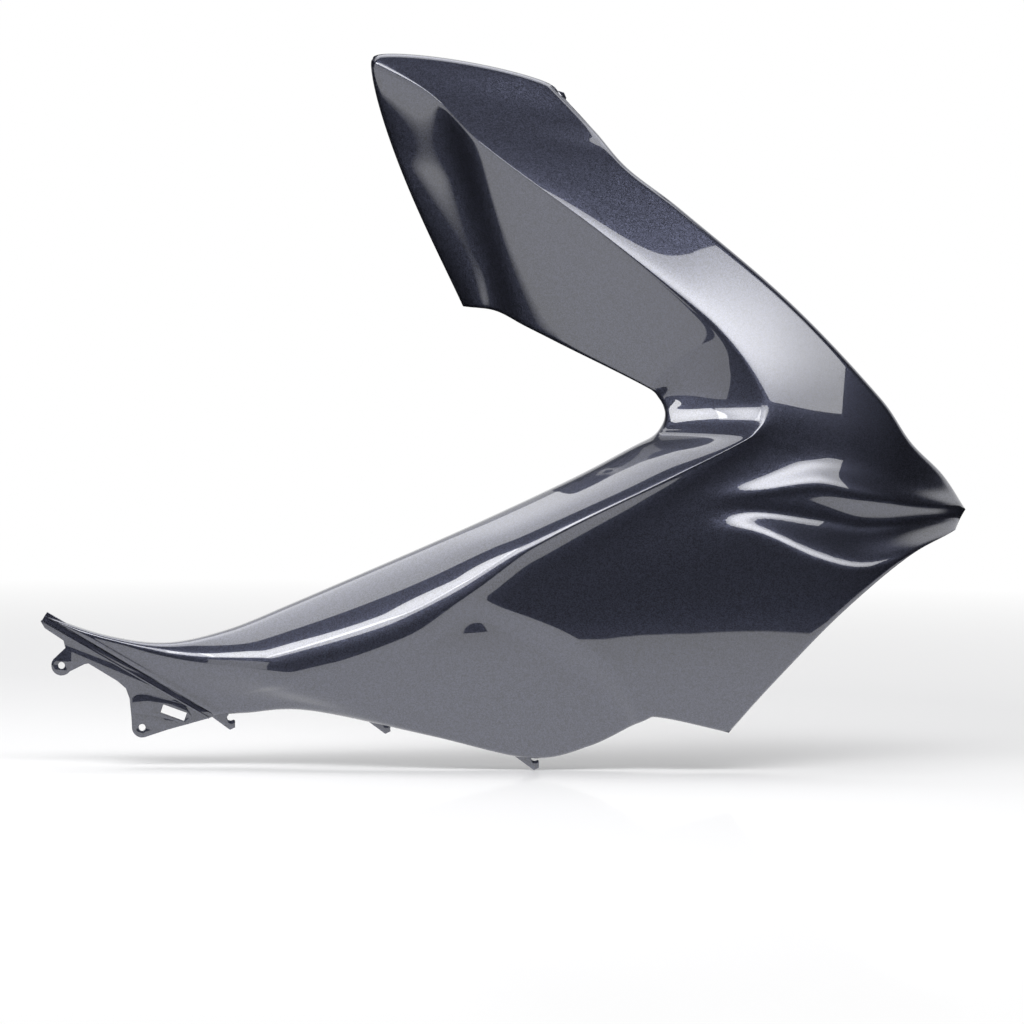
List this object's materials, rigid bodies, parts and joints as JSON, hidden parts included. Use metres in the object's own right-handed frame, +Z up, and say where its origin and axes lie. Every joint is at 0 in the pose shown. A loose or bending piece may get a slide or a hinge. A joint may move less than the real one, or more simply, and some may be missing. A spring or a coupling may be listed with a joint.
{
  "type": "motorcycle side fairing panel",
  "caption": "Boomerang-shaped painted side fairing panel with a sunk V bend, a pointed scooped nose, hooks under its edge and a rear flange with screw lugs.",
  "frame": {"origin": "centre of the screw hole in the lower lug of the rear flange, on the flange's outer face", "axes": "+X forward to the nose, +Z up, -Y out of the painted face; the lug holes run along Y"},
  "size_m": [0.7432, 0.2195, 0.5693],
  "materials": {
    "painted_abs": "dark gunmetal metallic paint under a gloss clear coat"
  },
  "bodies": {
    "root": {"fairing_panel": "painted_abs"}
  },
  "joints": []
}
